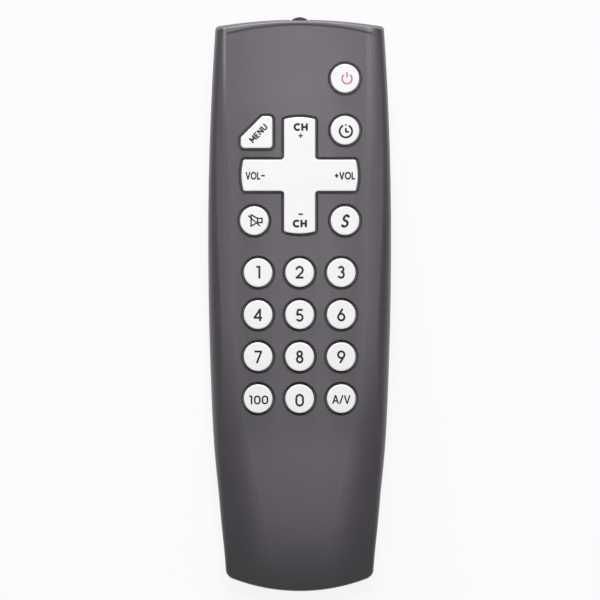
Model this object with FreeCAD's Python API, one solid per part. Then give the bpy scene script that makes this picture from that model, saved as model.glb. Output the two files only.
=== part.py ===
import FreeCAD, Part
import math
import os

Vector = FreeCAD.Vector

# A hand-held television remote control, lying on its back.
# Millimetres. The keys face up (+Z), the infrared end points along +Y,
# and the origin is on the rest face, under the middle of the case.

# Case outline, seen from above
case_length = 175.0
case_width = 55.8
widest_y = 20.0
nose_side_radius = 930.0
tail_side_radius = 1150.0
taper_start_y = -42.0
taper_slope = 0.096
nose_arc_radius = 155.0
nose_top_arc_radius = 118.0
nose_corner_radius = 1.4
tail_arc_radius = 57.0
tail_corner_radius = 3.5
nose_lean = 0.9
nose_back_lean = 1.2
tail_lean = 0.5
tail_back_lean = 1.2
corner_crossing = math.radians(15.0)

# Case heights and roundings
parting_height = 12.0
crest_height = 22.6
crest_y = 20.0
crest_nose_radius = 3400.0
crest_tail_radius = 2000.0
dip_start_y = -20.0
dip_power = 8
tail_rise = 5.3
crown_radius = 185.0
cheek_width_nose = 3.0
cheek_width_main = 7.0
cheek_width_tail = 14.0
edge_drop = 2.5
edge_fall_start_y = 0.0
edge_rise_tail = 2.5
shoulder_nose_y = 60.0
shoulder_radius_nose = 2.2
shoulder_radius_middle = 4.5
shoulder_radius_tail = 1.3
back_rise_y = 10.0
back_rise_radius = 825.0
back_flat_cut = 0.1
back_edge_radius = 4.5
wall_draft = math.radians(4.0)
back_draft = math.radians(5.0)
rim_radius_tail = 1.0
rim_radius_nose = 0.6
back_rim_radius_tail = 2.0
back_rim_radius_nose = 1.0
hole_rim_radius = 0.3

# Case walls and joints
wall = 2.0
least_radius = 0.3
lip_height = 1.0
lip_wall = 0.9
lip_gap = 0.1
hook_width = 6.0
hook_thickness = 1.3
hook_drop = 3.8
hook_wall_gap = 0.8
hook_barb = 1.2
hook_barb_height = 1.4
hook_pocket_gap = 0.3
hook_places = (62.0, 20.0, -24.0, -62.0)

# Battery cells and their compartment
cell_radius = 5.25
cell_length = 44.5
cell_nub_radius = 1.9
cell_nub_length = 0.8
cell_spacing = 12.0
cell_side_gap = 0.4
cell_end_room = 7.5
cell_lift = 0.3
compartment_wall = 1.2
compartment_nose_y = -30.0
divider_thickness = 0.9
contact_thickness = 0.4
contact_gap = 0.05
contact_width = 8.0
leaf_width = 5.0

# Battery door
door_thickness = 1.8
door_half_width = 15.0
door_end_half_width = 16.2
door_end_length = 7.5
door_end_height = 5.0
door_nose_y = -28.0
door_gap = 0.2
door_tongue_depth = 1.1
door_tongue_gap = 0.1
door_rib_width = 1.4
grip_groove_width = 14.0
grip_groove_depth = 0.5
grip_groove_pitch = 2.0
grip_groove_count = 5

# Circuit board, key mat and contacts
board_half_width = 21.5
board_nose_y = 76.0
board_tail_y = -35.0
board_thickness = 1.6
board_clearance = 1.0
pad_thickness = 0.1
pad_radius = 2.3
mat_thickness = 1.0
mat_margin = 1.0
collar_height = 0.6
collar_wall = 0.75
collar_gap = 0.15
pill_radius = 2.0
pill_thickness = 0.35
pill_proud = 0.05

# Keys
key_radius = 4.35
key_gap = 0.66
key_proud = 1.3
key_travel = 1.1
key_edge_radius = 0.35
skirt_step = 0.35
stop_gap = 0.1
digit_pitch_x = 12.65
digit_pitch_y = 12.78
digit_top_y = 9.6
side_key_x = 13.8
lower_pair_y = 25.4
timer_key_y = 52.9
power_key_y = 68.7
menu_outer_x = -17.9
menu_inner_x = -8.3
menu_low_y = 47.5
menu_high_y = 57.2
menu_cut = 6.5
menu_corner_radius = 1.1
menu_pill_inset = 4.2

# Four-way rocker
rocker_y = 39.2
rocker_reach = 17.7
rocker_arm_width = 9.5
rocker_outer_corner = 0.6
rocker_inner_corner = 1.0
rocker_tilt = math.radians(4.0)
rocker_underside_gap = 2.0
plunger_reach = 13.0
plunger_radius = 2.6
plunger_hole_gap = 0.5
ball_radius = 1.5
ball_gap = 0.1
ball_height = 2.0
seat_radius = 3.0
seat_height = 0.8
hub_height = 0.65

# Fasteners and supports
screw_y = 65.0
screw_head_radius = 2.4
screw_head_height = 1.7
screw_shank_radius = 1.1
screw_length = 10.8
screw_sink = 1.7
screw_clearance = 0.3
screw_pilot_gap = 0.05
boss_radius = 2.8
boss_hole_gap = 0.4
pillar_radius = 3.6
pillar_height = 3.8
support_radius = 1.6
support_places = ((18.5, 70.0), (19.0, 12.0), (18.5, -22.0))
press_radius = 1.1
press_places = ((6.3, 3.2), (6.3, -22.3), (19.3, 34.0), (19.3, 61.0))

# Infrared window and lamp
window_bulge = 0.7
window_width = 6.0
window_height = 6.4
window_corner_radius = 1.2
window_front_radius = 3.8
window_gap = 0.1
window_flange = 1.4
window_flange_depth = 1.6
led_radius = 2.5
led_length = 8.3
led_base_radius = 2.9
led_base_length = 1.0
led_window_gap = 1.9
led_lead_pitch = 2.54
led_lead_thickness = 0.5
led_cradle_thickness = 1.2
led_cradle_half_width = 4.5
led_cradle_gap = 0.05

# Levels and ends that follow from the sizes above
nose_y = case_length / 2 - window_bulge
tail_y = -case_length / 2
cell_axis_z = door_thickness + cell_lift + cell_radius
ceiling_bottom = cell_axis_z + cell_radius + cell_lift
ceiling_top = ceiling_bottom + compartment_wall - 0.1
board_bottom = ceiling_top + board_clearance
board_top = board_bottom + board_thickness
pad_top = board_top + pad_thickness
mat_top = board_top + mat_thickness
collar_top = mat_top + collar_height
pill_bottom = pad_top + key_travel + pill_proud
skirt_bottom = pill_bottom + pill_proud
cap_bottom = collar_top + key_travel + stop_gap
compartment_length = cell_length + cell_end_room
compartment_tail_y = compartment_nose_y - compartment_length
compartment_half = cell_spacing / 2 + cell_radius + cell_side_gap
pivot_z = board_top + ball_height
rocker_bottom = mat_top + rocker_underside_gap
rocker_pill_edge = plunger_reach + pill_radius * math.sqrt(2)
rocker_pill_bottom = pad_top + pill_proud + rocker_pill_edge * math.sin(rocker_tilt)
channel_outer = door_end_half_width + door_gap
window_z = parting_height


def box(x0, x1, y0, y1, z0, z1):
    return Part.makeBox(x1 - x0, y1 - y0, z1 - z0, Vector(x0, y0, z0))


def post(x, y, z0, z1, radius):
    return Part.makeCylinder(radius, z1 - z0, Vector(x, y, z0))


def rod_y(x, z, y0, y1, radius):
    return Part.makeCylinder(radius, y1 - y0, Vector(x, y0, z), Vector(0, 1, 0))


def rod_x(y, z, x0, x1, radius):
    return Part.makeCylinder(radius, x1 - x0, Vector(x0, y, z), Vector(1, 0, 0))


def fused(shapes):
    return shapes[0].multiFuse(shapes[1:]).removeSplitter()


def mirrored(shape):
    return shape.mirror(Vector(0, 0, 0), Vector(1, 0, 0))


def both_sides(shape):
    return [shape, mirrored(shape)]


def save(name, shapes):
    """Write one named piece, as one solid or as a group of separate solids."""
    shape = shapes if isinstance(shapes, Part.Shape) else Part.makeCompound(shapes)
    shape.exportStep("parts/" + name + ".step")
    print(name, len(shape.Solids), "solid(s)", round(shape.Volume, 1), "mm3", shape.isValid())


# Case form: cross sections along the length


def blend(y, y_from, y_to, value_from, value_to):
    share = min(1.0, max(0.0, (y - y_from) / (y_to - y_from)))
    return value_from + (value_to - value_from) * share * share * (3 - 2 * share)


def half_width(y):
    """Half width of the case at the parting plane."""
    if y > widest_y:
        return case_width / 2 - (y - widest_y) ** 2 / (2 * nose_side_radius)
    curved_y = max(y, taper_start_y)
    half = case_width / 2 - (curved_y - widest_y) ** 2 / (2 * tail_side_radius)
    return half - (curved_y - y) * taper_slope


def top_height(y):
    """Height of the top surface on the middle line."""
    if y > crest_y:
        return crest_height - (y - crest_y) ** 2 / (2 * crest_nose_radius)
    gentle = (y - crest_y) ** 2 / (2 * crest_tail_radius)
    gentle_at_tail = (tail_y - crest_y) ** 2 / (2 * crest_tail_radius)
    dip_at_tail = crest_height - gentle_at_tail - parting_height - tail_rise
    share = max(0.0, dip_start_y - y) / (dip_start_y - tail_y)
    return crest_height - gentle - dip_at_tail * share ** dip_power


def edge_height(y):
    """Height where the top meets the side walls; this edge falls away toward the tail."""
    main = top_height(max(y, edge_fall_start_y)) - edge_drop
    return blend(y, edge_fall_start_y, tail_y, main, parting_height + edge_rise_tail)


def cheek_width(y):
    """Width of the rounder strip between the flat crown and each side wall."""
    if y > widest_y:
        return blend(y, widest_y, nose_y, cheek_width_main, cheek_width_nose)
    return blend(y, edge_fall_start_y, tail_y, cheek_width_main, cheek_width_tail)


def shoulder_radius(y):
    if y > dip_start_y:
        return blend(y, dip_start_y, shoulder_nose_y, shoulder_radius_middle, shoulder_radius_nose)
    return blend(y, dip_start_y, tail_y, shoulder_radius_middle, shoulder_radius_tail)


def back_height(y):
    """Height of the back on the middle line, before it is cut flat: level, then rising to the nose."""
    return max(0.0, y - back_rise_y) ** 2 / (2 * back_rise_radius) - back_flat_cut


def round_from(centre, radius, direction_a, direction_b):
    """Middle point of a round about a centre, between two outward directions."""
    middle = (direction_a + direction_b).normalize()
    return centre + middle * radius


def case_section(y, inset):
    """Closed section of the case at one place along its length, inset from the outer face."""
    half = half_width(y) - inset
    top = top_height(y) - inset
    back = back_height(y) + inset
    shoulder = max(shoulder_radius(y) - inset, least_radius)
    corner = max(back_edge_radius - inset, least_radius)

    crown_centre = Vector(0, y, top_height(y) - crown_radius)
    crown_out = Vector(half_width(y) - cheek_width(y), 0, 0) / crown_radius
    crown_out.z = math.sqrt(1 - crown_out.x ** 2)
    crown_end = crown_centre + crown_out * crown_radius
    edge_lean = (edge_height(y) - parting_height) * math.tan(wall_draft)
    edge = Vector(half_width(y) - edge_lean, y, edge_height(y))
    fall_away = edge - crown_end
    cheek = -fall_away.dot(fall_away) / (2 * fall_away.dot(crown_out))
    cheek_centre = crown_end - crown_out * cheek
    cheek = cheek - inset
    crown_end = crown_end - crown_out * inset

    waist = Vector(half, y, parting_height)
    up = Vector(-math.sin(wall_draft), 0, math.cos(wall_draft))
    out_up = Vector(math.cos(wall_draft), 0, math.sin(wall_draft))
    base = waist - out_up * shoulder - cheek_centre
    along = base.dot(up)
    rise = -along + math.sqrt(along ** 2 - base.dot(base) + (cheek - shoulder) ** 2)
    wall_top = waist + up * rise
    shoulder_centre = wall_top - out_up * shoulder
    cheek_out = (shoulder_centre - cheek_centre).normalize()
    shoulder_end = cheek_centre + cheek_out * cheek
    shoulder_middle = round_from(shoulder_centre, shoulder, out_up, cheek_out)
    cheek_middle = round_from(cheek_centre, cheek, cheek_out, crown_out)

    down = Vector(-math.sin(back_draft), 0, -math.cos(back_draft))
    out_down = Vector(math.cos(back_draft), 0, -math.sin(back_draft))
    fall = (parting_height + corner * math.sin(back_draft) - back - corner) / math.cos(back_draft)
    wall_foot = waist + down * fall
    corner_centre = wall_foot - out_down * corner
    corner_middle = round_from(corner_centre, corner, out_down, Vector(0, 0, -1))
    corner_end = corner_centre + Vector(0, 0, -corner)

    def other(point):
        return Vector(-point.x, point.y, point.z)

    curves = [
        Part.LineSegment(waist, wall_top),
        Part.Arc(wall_top, shoulder_middle, shoulder_end),
        Part.Arc(shoulder_end, cheek_middle, crown_end),
        Part.Arc(crown_end, Vector(0, y, top), other(crown_end)),
        Part.Arc(other(crown_end), other(cheek_middle), other(shoulder_end)),
        Part.Arc(other(shoulder_end), other(shoulder_middle), other(wall_top)),
        Part.LineSegment(other(wall_top), other(waist)),
        Part.LineSegment(other(waist), other(wall_foot)),
        Part.Arc(other(wall_foot), other(corner_middle), other(corner_end)),
        Part.LineSegment(other(corner_end), corner_end),
        Part.Arc(corner_end, corner_middle, wall_foot),
        Part.LineSegment(wall_foot, waist),
    ]
    return Part.Wire([curve.toShape() for curve in curves])


def case_body(inset):
    """Loft through the sections, a little longer than the case at both ends."""
    sections = 21
    over = 1.0
    step = (nose_y - tail_y + 2 * over) / (sections - 1)
    return Part.makeLoft([case_section(tail_y - over + i * step, inset) for i in range(sections)], True, False)


# Case form: the nose and tail ends


def corner_round(end_y, end_radius, corner, inset, side_lean, toward):
    """Centre of the corner round between an end arc and the side wall."""
    arc_centre_y = end_y - toward * end_radius
    centre_y = end_y
    for _ in range(5):
        centre_x = half_width(centre_y) - inset - side_lean - corner * math.cos(corner_crossing)
        centre_y = arc_centre_y + toward * math.sqrt((end_radius - corner) ** 2 - centre_x ** 2)
    return centre_x, centre_y, arc_centre_y


def end_curves(z, end_y, end_radius, corner, inset, side_lean, toward):
    """One end of the outline, from right to left: corner round, end arc, corner round."""
    centre_x, centre_y, arc_centre_y = corner_round(end_y, end_radius, corner, inset, side_lean, toward)
    centre = Vector(centre_x, centre_y, z)
    arc_centre = Vector(0, arc_centre_y, z)
    outward = (centre - arc_centre).normalize()
    joint = arc_centre + outward * end_radius
    start = centre + Vector(corner, 0, 0)
    middle = round_from(centre, corner, outward, Vector(1, 0, 0))

    def other(point):
        return Vector(-point.x, point.y, point.z)

    return start, [
        Part.Arc(start, middle, joint),
        Part.Arc(joint, Vector(0, end_y, z), other(joint)),
        Part.Arc(other(joint), other(middle), other(start)),
    ]


def end_outline(z, inset, nose_shift, nose_radius, tail_shift, side_lean):
    """Outline that trims the nose and the tail and stays clear of the side walls."""
    tail_corner = max(tail_corner_radius - inset, 1.0)
    nose_start, nose = end_curves(
        z, nose_y - nose_shift - inset, nose_radius - inset, nose_corner_radius, inset, side_lean, 1)
    tail_start, tail = end_curves(
        z, tail_y + tail_shift + inset, tail_arc_radius - inset, tail_corner, inset, side_lean, -1)
    outside = case_width
    corners = [
        Vector(-nose_start.x, nose_start.y, z),
        Vector(-outside, nose_start.y, z),
        Vector(-outside, tail_start.y, z),
        Vector(-tail_start.x, tail_start.y, z),
    ]
    left = [Part.LineSegment(a, b) for a, b in zip(corners, corners[1:])]
    corners = [
        tail_start,
        Vector(outside, tail_start.y, z),
        Vector(outside, nose_start.y, z),
        nose_start,
    ]
    right = [Part.LineSegment(a, b) for a, b in zip(corners, corners[1:])]
    return Part.Wire(Part.__sortEdges__([curve.toShape() for curve in nose + left + tail + right]))


def upper_half(inset):
    """Solid of the case above the parting plane, inset from the outer face."""
    level = crest_height + key_proud
    rise = level - parting_height
    low = end_outline(parting_height, inset, 0, nose_arc_radius, 0, 0)
    high = end_outline(level, inset, nose_lean, nose_top_arc_radius, tail_lean, rise * math.tan(wall_draft))
    return case_body(inset).common(Part.makeLoft([low, high], True, True))


def lower_form(inset):
    """Solid of the case below the parting plane, before its underside is cut flat."""
    level = -1.0
    fall = parting_height - level
    high = end_outline(parting_height, inset, 0, nose_arc_radius, 0, 0)
    low = end_outline(level, inset, nose_back_lean, nose_arc_radius, tail_back_lean, fall * math.tan(back_draft))
    return case_body(inset).common(Part.makeLoft([low, high], True, True))


def cut_flat(shape, inset):
    """Cuts the underside to a true plane, for the case to rest on."""
    return shape.common(box(-case_width, case_width, 2 * tail_y, 2 * nose_y, inset, crest_height))


def lower_half(inset):
    """Solid of the case below the parting plane, inset from the outer face."""
    return cut_flat(lower_form(inset), inset)


def end_edges(shape, low, high, nose):
    """Edges at one end of the case that lie wholly between two heights."""
    zone = 8.0
    found = []
    for edge in shape.Edges:
        bounds = edge.BoundBox
        at_end = bounds.YMin > nose_y - zone if nose else bounds.YMax < tail_y + zone
        if at_end and bounds.ZMin > low and bounds.ZMax < high:
            found.append(edge)
    return found


def upper_outer():
    shape = upper_half(0)
    above = parting_height + 0.2
    shape = shape.makeFillet(rim_radius_tail, end_edges(shape, above, crest_height, False))
    return shape.makeFillet(rim_radius_nose, end_edges(shape, above, crest_height, True))


def lower_outer():
    shape = lower_form(0)
    below = parting_height - 0.2
    shape = shape.makeFillet(back_rim_radius_tail, end_edges(shape, -1.0, below, False))
    return cut_flat(shape.makeFillet(back_rim_radius_nose, end_edges(shape, -1.0, below, True)), 0)


# Key outlines


def grown(corners, distance):
    """Corners of a counter-clockwise outline with every side moved outwards."""
    moved = []
    for before, corner, after in zip(corners[-1:] + corners[:-1], corners, corners[1:] + corners[:1]):
        arriving = (corner - before).normalize()
        leaving = (after - corner).normalize()
        normal_a = Vector(arriving.y, -arriving.x, 0)
        normal_b = Vector(leaving.y, -leaving.x, 0)
        moved.append(corner + (normal_a + normal_b) * (distance / (1 + normal_a.dot(normal_b))))
    return moved


def prism(corners, z0, z1):
    points = [Vector(corner.x, corner.y, z0) for corner in corners]
    face = Part.Face(Part.makePolygon(points + points[:1]))
    return face.extrude(Vector(0, 0, z1 - z0))


def upright_edges(shape, near, far, centre):
    """Vertical edges whose distance from a centre lies between two limits."""
    found = []
    for edge in shape.Edges:
        bounds = edge.BoundBox
        distance = math.hypot(bounds.XMin - centre[0], bounds.YMin - centre[1])
        if bounds.XLength < 0.01 and bounds.YLength < 0.01 and near < distance < far:
            found.append(edge)
    return found


def round_key_form(x, y, grow, z0, z1):
    """Upright bar of a round key, with its seam line toward the tail."""
    shape = post(x, y, z0, z1, key_radius + grow)
    shape.rotate(Vector(x, y, 0), Vector(0, 0, 1), -90)
    return shape


def menu_key_form(grow, z0, z1):
    """Square key with one corner cut off along the slant of its label."""
    corners = [
        Vector(menu_outer_x, menu_low_y, 0),
        Vector(menu_inner_x, menu_low_y, 0),
        Vector(menu_inner_x, menu_high_y, 0),
        Vector(menu_outer_x + menu_cut, menu_high_y, 0),
        Vector(menu_outer_x, menu_high_y - menu_cut, 0),
    ]
    shape = prism(grown(corners, grow), z0, z1)
    return shape.makeFillet(menu_corner_radius + grow, upright_edges(shape, 0, case_length, (0, 0)))


def rocker_form(grow, z0, z1):
    """Plus-shaped key whose four tips lie on one circle."""
    arm = rocker_arm_width / 2
    end = rocker_reach + arm
    corners = [
        Vector(sx * a, rocker_y + sy * b, 0)
        for sx, sy, a, b in (
            (1, -1, arm, end), (1, -1, arm, arm), (1, -1, end, arm),
            (1, 1, end, arm), (1, 1, arm, arm), (1, 1, arm, end),
            (-1, 1, arm, end), (-1, 1, arm, arm), (-1, 1, end, arm),
            (-1, -1, end, arm), (-1, -1, arm, arm), (-1, -1, arm, end),
        )
    ]
    shape = prism(grown(corners, grow), z0, z1)
    shape = shape.common(post(0, rocker_y, z0, z1, rocker_reach + grow))
    centre = (0, rocker_y)
    split = rocker_reach * 0.7
    shape = shape.makeFillet(rocker_inner_corner - grow, upright_edges(shape, 0, split, centre))
    return shape.makeFillet(rocker_outer_corner + grow, upright_edges(shape, split, case_length, centre))


# Where the keys are

digit_names = (
    ("digit_1", "digit_2", "digit_3"),
    ("digit_4", "digit_5", "digit_6"),
    ("digit_7", "digit_8", "digit_9"),
    ("hundred", "digit_0", "av"),
)
round_keys = {
    "power": (side_key_x, power_key_y),
    "timer": (side_key_x, timer_key_y),
    "mute": (-side_key_x, lower_pair_y),
    "s": (side_key_x, lower_pair_y),
}
for row, names in enumerate(digit_names):
    for column, name in enumerate(names):
        round_keys[name] = ((column - 1) * digit_pitch_x, digit_top_y - row * digit_pitch_y)
menu_pill_place = (menu_inner_x - menu_pill_inset, menu_low_y + menu_pill_inset)
plunger_places = [
    (plunger_reach, rocker_y), (-plunger_reach, rocker_y),
    (0, rocker_y + plunger_reach), (0, rocker_y - plunger_reach),
]


def all_key_forms(grow, z0, z1):
    forms = [round_key_form(x, y, grow, z0, z1) for x, y in round_keys.values()]
    return forms + [menu_key_form(grow, z0, z1)]


# Case pieces


def hook(y):
    """Snap hook on the right side: root in the wall, spring tab, barb."""
    inner = half_width(y) - wall
    outer_face = inner - hook_wall_gap
    y0 = y - hook_width / 2
    y1 = y + hook_width / 2
    low = parting_height - hook_drop
    root_low = parting_height + lip_height + 0.4
    root = box(outer_face - hook_thickness, inner + 1.0, y0, y1, root_low, root_low + 1.4)
    tab = box(outer_face - hook_thickness, outer_face, y0, y1, low, root_low + 1.4)
    barb_top = low + hook_barb_height
    corners = [
        Vector(outer_face, y0, low),
        Vector(outer_face + hook_barb, y0, barb_top),
        Vector(outer_face, y0, barb_top),
    ]
    barb = Part.Face(Part.makePolygon(corners + corners[:1])).extrude(Vector(0, hook_width, 0))
    return fused([root, tab, barb])


def hook_pocket(y):
    inner = half_width(y) - wall
    low = parting_height - hook_drop - hook_pocket_gap
    high = parting_height - hook_drop + hook_barb_height + hook_pocket_gap
    side = hook_width / 2 + hook_pocket_gap
    outer = inner - hook_wall_gap + hook_barb + hook_pocket_gap
    return box(inner - hook_wall_gap, outer, y - side, y + side, low, high)


def window_block(grow, y0, y1):
    """Rounded bar along Y, the form of the window opening."""
    half = window_width / 2 + grow
    z0 = window_z - window_height / 2 - grow
    z1 = window_z + window_height / 2 + grow
    shape = box(-half, half, y0, y1, z0, z1)
    along = [edge for edge in shape.Edges if edge.BoundBox.YLength > (y1 - y0) / 2]
    return shape.makeFillet(window_corner_radius + grow, along)


def window_opening():
    return window_block(window_gap, nose_y - 6.0, nose_y + 2.0)


def screw_seat_z():
    return back_height(screw_y) + screw_sink + screw_head_height


def make_top_housing():
    shape = upper_outer()
    holes = all_key_forms(key_gap, parting_height, crest_height + 2 * key_proud)
    holes.append(rocker_form(key_gap, parting_height, crest_height + 2 * key_proud))
    shape = shape.cut(Part.makeCompound(holes))
    rims = []
    for edge in shape.Edges:
        bounds = edge.BoundBox
        in_block = bounds.YMin > board_tail_y and bounds.YMax < board_nose_y and bounds.XLength < 2 * board_half_width
        if in_block and bounds.ZMin > mat_top and bounds.ZLength < 2 * key_proud:
            rims.append(edge)
    shape = shape.makeFillet(hole_rim_radius, rims)
    shape = shape.cut(upper_half(wall))

    rebate_top = parting_height + lip_height + lip_gap
    slab = box(-case_width, case_width, tail_y, nose_y + 1, parting_height, rebate_top)
    shape = shape.cut(upper_half(wall - lip_wall - lip_gap).common(slab))

    backing = upper_half(wall / 2)
    posts = []
    for x, y in press_places:
        posts += both_sides(post(x, y, mat_top, crest_height, press_radius))
    boss = post(0, screw_y, screw_seat_z() + pillar_height, crest_height, boss_radius)
    boss_low = boss.common(box(-9, 9, screw_y - 9, screw_y + 9, 0, parting_height + 1))
    hooks = []
    for y in hook_places:
        hooks += both_sides(hook(y))
    clipped = [piece.common(backing) for piece in posts + [boss]]
    roots = []
    for piece in hooks:
        upper = piece.common(backing)
        lower = piece.common(box(-case_width, case_width, tail_y, nose_y, 0, parting_height))
        roots += [upper, lower]
    shape = fused([shape, boss_low] + clipped + roots)
    pilot_top = screw_seat_z() + screw_length + 1.0
    shape = shape.cut(post(0, screw_y, 0, pilot_top, screw_shank_radius + screw_pilot_gap))
    return shape.cut(window_opening())


def door_region(grow, z_top):
    """Footprint of the battery door, with its wider end across the tail."""
    low = -2.0
    plate = box(-door_half_width - grow, door_half_width + grow, tail_y - 1, door_nose_y + grow, low, z_top)
    end_y = tail_y + door_end_length + grow
    end_half = door_end_half_width + grow
    end = box(-end_half, end_half, tail_y - 1, end_y, low, door_end_height + grow)
    return plate, end


def make_compartment():
    """Battery walls, ceiling and the channels that carry the door's tongues."""
    y0 = compartment_tail_y - compartment_wall
    y1 = compartment_nose_y + compartment_wall
    outer = compartment_half + compartment_wall
    under = door_thickness + door_tongue_gap + 0.2
    roof_low = wall + door_tongue_depth + 2 * door_tongue_gap
    roof_high = roof_low + 1.0
    leg_outer = channel_outer + compartment_wall
    channel_tail_y = tail_y + door_end_length + 1.0
    pieces = [
        box(-outer, outer, y0, y1, ceiling_bottom, ceiling_top),
        box(-outer, outer, compartment_nose_y, y1, under, ceiling_top),
        box(-outer, outer, y0, compartment_tail_y, under, ceiling_top),
        box(-divider_thickness / 2, divider_thickness / 2, compartment_tail_y + 5, compartment_nose_y - 5,
            cell_axis_z - cell_radius / 2, ceiling_top),
    ]
    pieces += both_sides(box(compartment_half, outer, y0, y1, roof_low, ceiling_top))
    pieces += both_sides(box(compartment_half, leg_outer, channel_tail_y, y1, roof_low, roof_high))
    pieces += both_sides(box(channel_outer, leg_outer, channel_tail_y, y1, wall / 2, roof_high))
    slots = [
        box(x - 1.1, x + 1.1, compartment_nose_y - 0.6, compartment_nose_y + 0.1, ceiling_bottom - 1, ceiling_top + 1)
        for x in (-cell_spacing / 2, cell_spacing / 2)
    ]
    return fused(pieces).cut(Part.makeCompound(slots))


def make_bottom_housing(outer):
    floor_top = wall + door_tongue_gap
    plate, end = door_region(door_gap, floor_top)
    shape = outer.cut(lower_half(wall)).cut(plate).cut(end)

    lip_top = parting_height + lip_height
    slab = box(-case_width, case_width, tail_y, nose_y + 1, parting_height - 0.5, lip_top)
    lip_outer = upper_half(wall - lip_wall).common(slab)
    lip = lip_outer.cut(upper_half(wall))

    pillars = [post(0, screw_y, back_height(screw_y) + 0.8, screw_seat_z() + pillar_height, pillar_radius)]
    for x, y in support_places:
        pillars += both_sides(post(x, y, wall / 2 + back_height(y), board_bottom, support_radius))
    led_y = led_tip_y() - led_length
    cradle_y = led_y + led_length / 2
    cradle = box(-led_cradle_half_width, led_cradle_half_width, cradle_y, cradle_y + led_cradle_thickness,
                 back_height(cradle_y) + 0.8, window_z)
    cradle = cradle.cut(rod_y(0, window_z, cradle_y - 1, cradle_y + 3, led_radius + led_cradle_gap))
    inside = lower_half(wall / 2).fuse(upper_half(wall + 0.3))
    compartment = make_compartment().common(inside)
    shape = fused([shape, lip, compartment, cradle] + pillars)

    seat = screw_seat_z()
    shape = shape.cut(post(0, screw_y, -1, seat, screw_head_radius + screw_clearance))
    shape = shape.cut(post(0, screw_y, -1, seat + pillar_height + 1, screw_shank_radius + screw_clearance))
    pockets = []
    for y in hook_places:
        pockets += both_sides(hook_pocket(y))
    return shape.cut(Part.makeCompound(pockets)).cut(window_opening())


def make_battery_door(outer):
    plate, end = door_region(0, door_end_height)
    hollow = lower_half(door_thickness)
    shape = outer.common(plate.fuse(end)).cut(hollow)
    tongue_low = wall + door_tongue_gap
    tongue_high = tongue_low + door_tongue_depth
    y0 = tail_y + door_end_length + 4.0
    y1 = door_nose_y - 1.0
    rib_inner = door_half_width - door_rib_width
    ribs = both_sides(box(rib_inner, door_half_width, y0, y1, door_thickness / 2, tongue_high))
    ribs += both_sides(box(door_half_width - 0.5, door_end_half_width, y0, y1, tongue_low, tongue_high))
    shape = fused([shape] + ribs)
    grooves = []
    first = door_nose_y - 8.0
    for i in range(grip_groove_count):
        y = first - i * grip_groove_pitch
        half = grip_groove_width / 2
        grooves.append(box(-half, half, y - grip_groove_pitch / 4, y + grip_groove_pitch / 4, -1, grip_groove_depth))
    tip = first - grip_groove_count * grip_groove_pitch - 3.5
    arrow = [Vector(0, tip, 0), Vector(2.6, tip + 3.2, 0), Vector(-2.6, tip + 3.2, 0)]
    grooves.append(prism(arrow, -1, grip_groove_depth))
    return shape.cut(Part.makeCompound(grooves))


def make_screw():
    seat = screw_seat_z()
    head = post(0, screw_y, seat - screw_head_height, seat, screw_head_radius)
    low_edge = [edge for edge in head.Edges if edge.BoundBox.ZMax < seat - 1]
    head = head.makeFillet(0.6, [edge for edge in low_edge if edge.BoundBox.XLength > 1])
    slot = 0.6
    for turned in (False, True):
        long, short = (1.5, slot / 2) if turned else (slot / 2, 1.5)
        head = head.cut(box(-long, long, screw_y - short, screw_y + short,
                            seat - screw_head_height - 1, seat - screw_head_height + 0.9))
    shank = post(0, screw_y, seat, seat + screw_length, screw_shank_radius)
    return head.fuse(shank).removeSplitter()


# Infrared window and lamp


def led_tip_y():
    return nose_y - wall - led_window_gap


def make_window():
    plug = window_block(0, nose_y - wall - 1.2, nose_y + 2)
    bulge = post(0, case_length / 2 - window_front_radius, 0, crest_height, window_front_radius)
    half = window_width / 2 + window_flange
    z0 = window_z - window_height / 2 - window_flange
    z1 = window_z + window_height / 2 + window_flange
    flange = box(-half, half, nose_y - wall - window_flange_depth, nose_y, z0, z1)
    inside = upper_half(wall + 0.05).fuse(lower_half(wall + 0.05))
    return fused([plug.common(bulge), flange.common(inside)])


def make_led():
    tip = led_tip_y()
    base = tip - led_length
    dome = Part.makeSphere(led_radius, Vector(0, tip - led_radius, window_z))
    body = rod_y(0, window_z, base, tip - led_radius, led_radius)
    rim = rod_y(0, window_z, base, base + led_base_length, led_base_radius)
    pieces = [body, dome, rim]
    half = led_lead_thickness / 2
    bend_y = base - 2.0
    for x in (-led_lead_pitch / 2, led_lead_pitch / 2):
        pieces.append(box(x - half, x + half, bend_y, base, window_z - half, window_z + half))
        pieces.append(box(x - half, x + half, bend_y, bend_y + 2 * half, window_z - half, board_bottom))
    return fused(pieces)


# Circuit board and what is soldered under it


def make_board():
    shape = box(-board_half_width, board_half_width, board_tail_y, board_nose_y, board_bottom, board_top)
    shape = shape.makeFillet(1.5, upright_edges(shape, 0, case_length, (0, 0)))
    return shape.cut(post(0, screw_y, 0, crest_height, boss_radius + boss_hole_gap))


def pill_places():
    return list(round_keys.values()) + [menu_pill_place]


def make_pads():
    return [post(x, y, board_top, pad_top, pad_radius) for x, y in pill_places() + plunger_places]


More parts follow.
